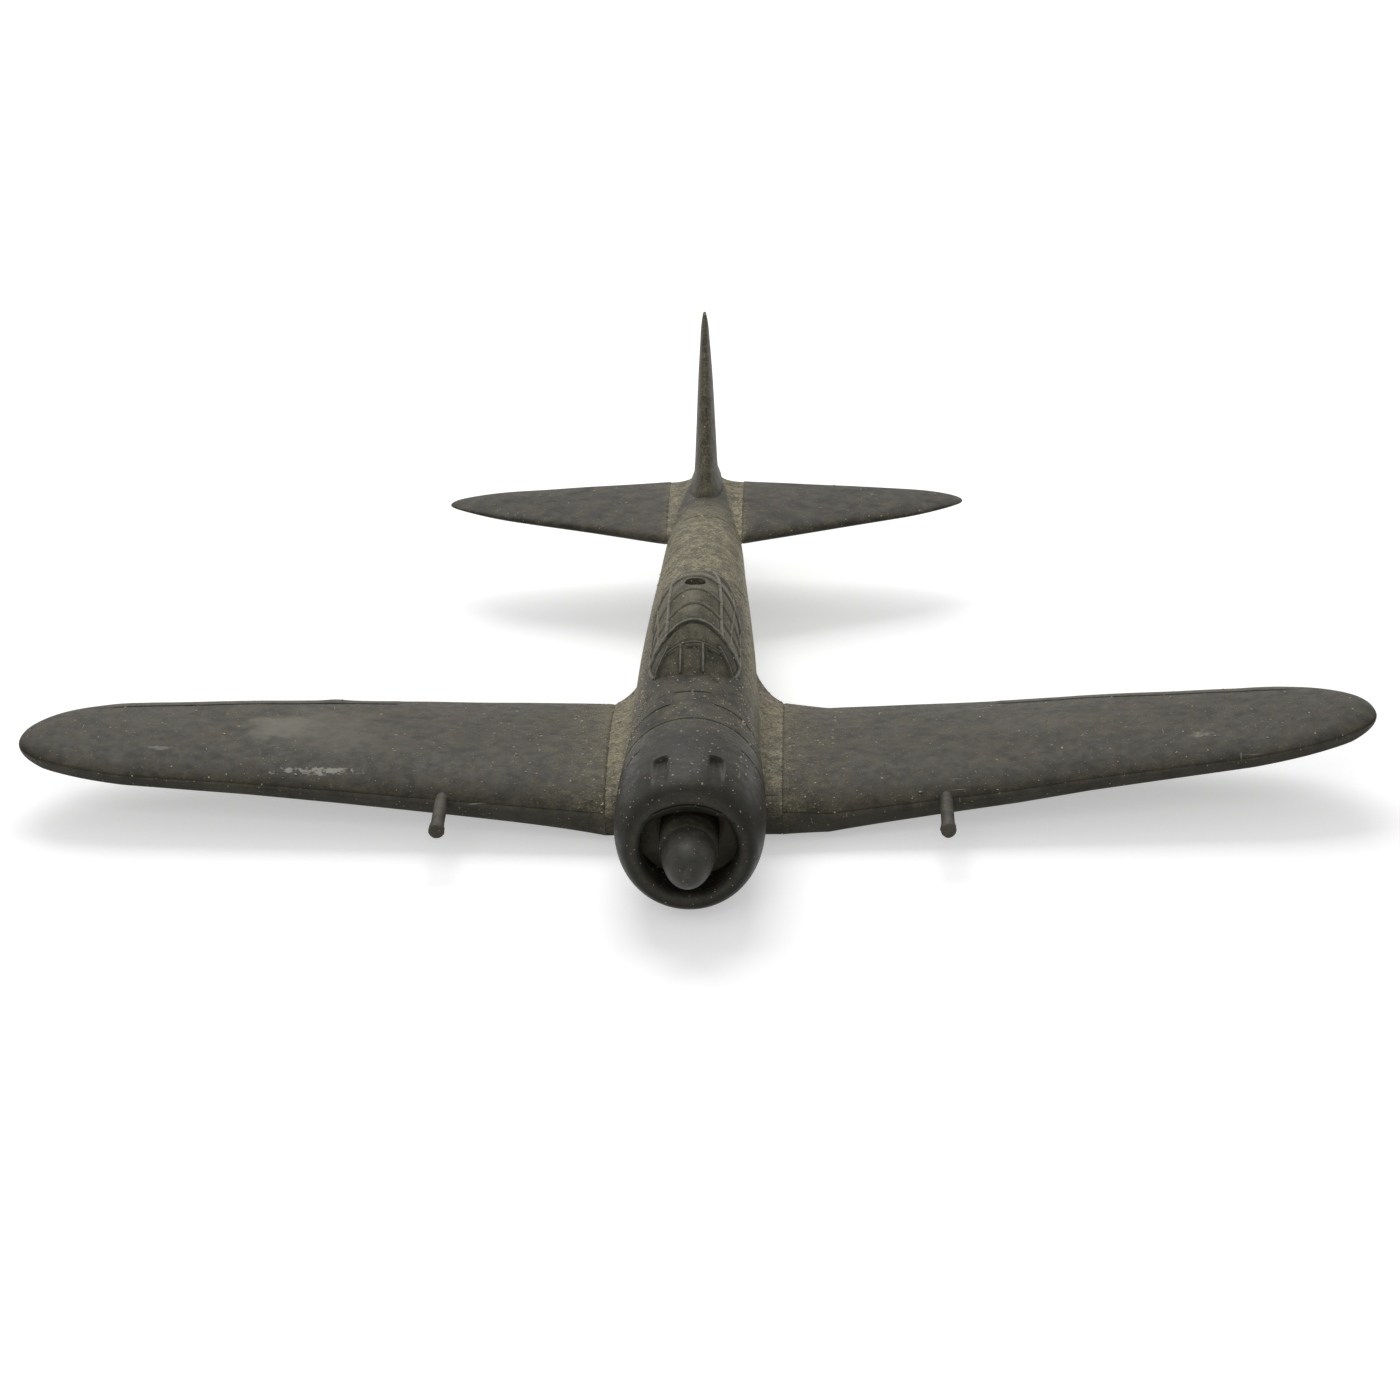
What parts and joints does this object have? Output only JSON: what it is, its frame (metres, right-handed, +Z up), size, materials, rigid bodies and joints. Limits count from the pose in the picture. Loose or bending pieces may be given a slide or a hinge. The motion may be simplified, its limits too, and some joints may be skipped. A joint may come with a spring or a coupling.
{
  "type": "aircraft recognition model",
  "caption": "Small-scale moulded model of a radial-engined low-wing fighter with a glazed canopy, a spinner that turns and a hole in the top for a hanging hook.",
  "frame": {"origin": "under the middle of the model's box, on the plane of its flat belly", "axes": "+Z up, nose towards -Y, +X to port (the pilot's left); the thrust line runs along Y, 8.9 mm up"},
  "size_m": [0.1528, 0.1266, 0.0342],
  "materials": {
    "body_plastic": "moulded plastic, semi-matte, dusty and lightly scuffed",
    "canopy_plastic": "moulded plastic, semi-matte, dusty and lightly scuffed",
    "recess_plastic": "moulded plastic, matte, dark inside the cowling",
    "spinner_plastic": "moulded plastic, semi-matte, dusty and lightly scuffed",
    "wing_plastic": "moulded plastic, semi-matte, dusty and lightly scuffed",
    "barrel_plastic": "moulded plastic, semi-matte, dusty and lightly scuffed"
  },
  "bodies": {
    "airframe": {"fuselage_port_half": "body_plastic", "fuselage_starboard_half": "body_plastic", "canopy": "canopy_plastic", "cowling": "body_plastic", "engine_disc": "recess_plastic", "wing_lower": "wing_plastic", "wing_upper_port": "wing_plastic", "wing_upper_starboard": "wing_plastic", "cannon_barrel_port": "barrel_plastic", "cannon_barrel_starboard": "barrel_plastic", "tailplane_port": "wing_plastic", "tailplane_starboard": "wing_plastic"},
    "spinner": {"spinner": "spinner_plastic", "shaft_collar": "recess_plastic"}
  },
  "joints": [
    {"name": "spin", "type": "hinge", "parent": "airframe", "child": "spinner", "pos_m": [0, -0.06035, 0.0089], "axis": [0, 1, 0], "continuous": true}
  ]
}
